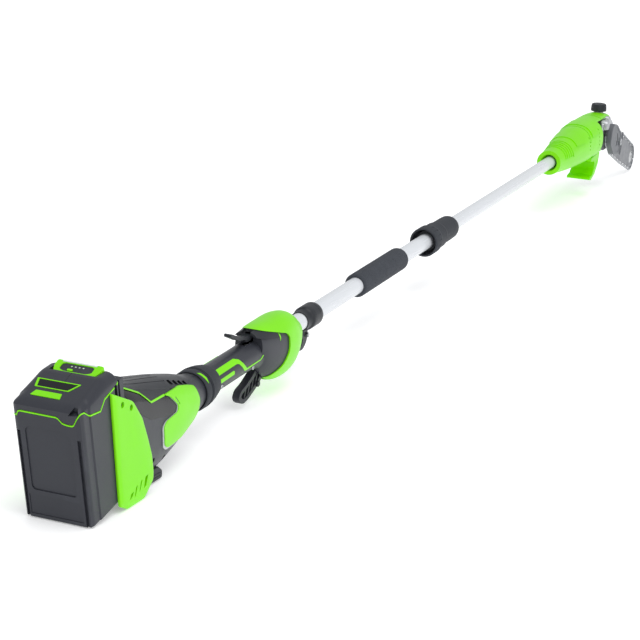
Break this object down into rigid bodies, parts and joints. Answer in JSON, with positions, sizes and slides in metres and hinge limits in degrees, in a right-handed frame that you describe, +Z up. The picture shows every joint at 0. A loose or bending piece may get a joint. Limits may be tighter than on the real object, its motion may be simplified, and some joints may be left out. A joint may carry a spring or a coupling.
{
  "type": "telescoping pole saw",
  "caption": "Battery pole saw: a dark and green rear body with a slide-in battery, a grip with trigger, a telescoping tube and a geared saw head with a short guide bar.",
  "frame": {"origin": "centre of the footprint, on the ground the saw lies on", "axes": "+X along the pole from the battery to the saw bar, +Z up, +Y to the user's left"},
  "size_m": [2.6884, 0.102, 0.1895],
  "materials": {
    "green_housing": "moulded lime green plastic, satin with a soft sheen",
    "dark_housing": "moulded slate grey plastic with a fine spark texture",
    "black_plastic": "near black glass-filled plastic",
    "soft_black": "matt black overmoulded rubber",
    "foam": "closed-cell foam sleeve",
    "white_tube": "white powder-coated aluminium tube",
    "steel": "ground and oiled steel",
    "saw_chain": "blued chain links with bright cutting edges",
    "cast_alloy": "die-cast alloy, bead blasted",
    "grey_cover": "grey moulded cover",
    "circuit_board": "coated circuit board",
    "tank_plastic": "milky oil tank"
  },
  "bodies": {
    "lower_pole": {"dock_cheek_right": "green_housing", "dock_cheek_left": "green_housing", "dock_plate": "dark_housing", "dock_terminals": "black_plastic", "body_shell_left": "dark_housing", "body_shell_right": "dark_housing", "body_lid": "black_plastic", "side_plate_right": "green_housing", "side_plate_left": "green_housing", "rear_foot": "dark_housing", "controller_board": "circuit_board", "heat_sink": "cast_alloy", "collar_ring": "soft_black", "grip_shell_left": "dark_housing", "grip_shell_right": "dark_housing", "fairing": "green_housing", "trigger_pin": "steel", "lock_off_pin": "steel", "trigger_spring": "steel", "power_switch": "black_plastic", "lower_tube": "white_tube", "lead_coil": "soft_black", "strap_clamp_left": "black_plastic", "strap_clamp_right": "black_plastic", "clamp_screw": "steel", "foam_grip": "foam", "lock_collet": "black_plastic"},
    "battery": {"battery_case": "dark_housing", "battery_cap": "dark_housing", "cell_block": "steel"},
    "battery_latch": {"battery_latch": "green_housing", "gauge_panel": "black_plastic"},
    "gauge_button": {"gauge_button": "green_housing"},
    "trigger": {"trigger": "black_plastic"},
    "lock_off_lever": {"lock_off_lever": "black_plastic"},
    "lock_sleeve": {"lock_sleeve": "soft_black"},
    "upper_pole": {"upper_tube": "white_tube", "tube_bush": "black_plastic", "lead": "soft_black", "head_shell_left": "green_housing", "head_shell_right": "green_housing", "limb_hook": "green_housing", "motor_can": "steel", "gear_case": "cast_alloy", "gear_case_cover": "cast_alloy", "spindle_bearing": "steel", "oil_tank": "tank_plastic", "guide_bar": "steel", "saw_chain": "saw_chain", "side_cover": "grey_cover", "bar_stud": "steel", "bar_nut": "cast_alloy"},
    "rotor": {"rotor": "steel", "pinion": "steel"},
    "drive_spindle": {"spindle": "steel", "bevel_gear": "steel", "drive_sprocket": "steel"},
    "nose_sprocket": {"nose_sprocket": "steel"},
    "cap_lift": {"cap_seal": "soft_black"},
    "oil_cap": {"oil_cap": "black_plastic"}
  },
  "joints": [
    {"name": "battery_slide", "type": "slide", "parent": "lower_pole", "child": "battery", "axis": [-0.2253, 0, 0.9743], "range_m": [0, 0.15]},
    {"name": "battery_latch_press", "type": "hinge", "parent": "battery", "child": "battery_latch", "pos_m": [-1.28087, 0, 0.16941], "axis": [0, 1, 0], "range_deg": [0, 5], "stiffness_Nm_per_rad": 0.5, "springref_deg": -8.59},
    {"name": "gauge_button_press", "type": "slide", "parent": "battery_latch", "child": "gauge_button", "axis": [0.2253, 0, -0.9743], "range_m": [0, 0.0012], "stiffness_N_per_m": 300, "springref_m": -0.002},
    {"name": "trigger_squeeze", "type": "hinge", "parent": "lower_pole", "child": "trigger", "pos_m": [-0.74708, 0, 0.04995], "axis": [0, 1, 0], "range_deg": [0, 12], "stiffness_Nm_per_rad": 0.4, "springref_deg": -17.19},
    {"name": "lock_off_press", "type": "hinge", "parent": "lower_pole", "child": "lock_off_lever", "pos_m": [-0.74633, 0, 0.09699], "axis": [0, -1, 0], "range_deg": [0, 7], "stiffness_Nm_per_rad": 0.3, "springref_deg": -17.19},
    {"name": "lock_sleeve_turn", "type": "hinge", "parent": "lower_pole", "child": "lock_sleeve", "pos_m": [-0.01, 0, 0.09452], "axis": [0.9996, 0, 0.0265], "range_deg": [0, 90]},
    {"name": "pole_extend", "type": "slide", "parent": "lower_pole", "child": "upper_pole", "axis": [0.9996, 0, 0.0265], "range_m": [-0.6, 0]},
    {"name": "rotor_spin", "type": "hinge", "parent": "upper_pole", "child": "rotor", "pos_m": [1.08177, 0, 0.11748], "axis": [0.9996, 0, 0.0265], "continuous": true},
    {"name": "spindle_spin", "type": "hinge", "parent": "upper_pole", "child": "drive_spindle", "pos_m": [1.08177, 0, 0.11748], "axis": [0, 1, 0], "continuous": true},
    {"name": "nose_spin", "type": "hinge", "parent": "upper_pole", "child": "nose_sprocket", "pos_m": [1.31275, -0.028, 0.03578], "axis": [0, 1, 0], "continuous": true},
    {"name": "oil_cap_lift", "type": "slide", "parent": "upper_pole", "child": "cap_lift", "axis": [-0.0265, 0, 0.9996], "range_m": [0, 0.0045]},
    {"name": "oil_cap_turn", "type": "hinge", "parent": "cap_lift", "child": "oil_cap", "pos_m": [1.08427, 0, 0.17407], "axis": [-0.0265, 0, 0.9996], "range_deg": [0, 540]}
  ],
  "couplings": [
    {"joint": "spindle_spin", "follows": "rotor_spin", "ratio": -0.5},
    {"joint": "nose_spin", "follows": "rotor_spin", "ratio": -0.38889},
    {"joint": "oil_cap_turn", "follows": "oil_cap_lift", "rad_per_m": 2094.4}
  ]
}
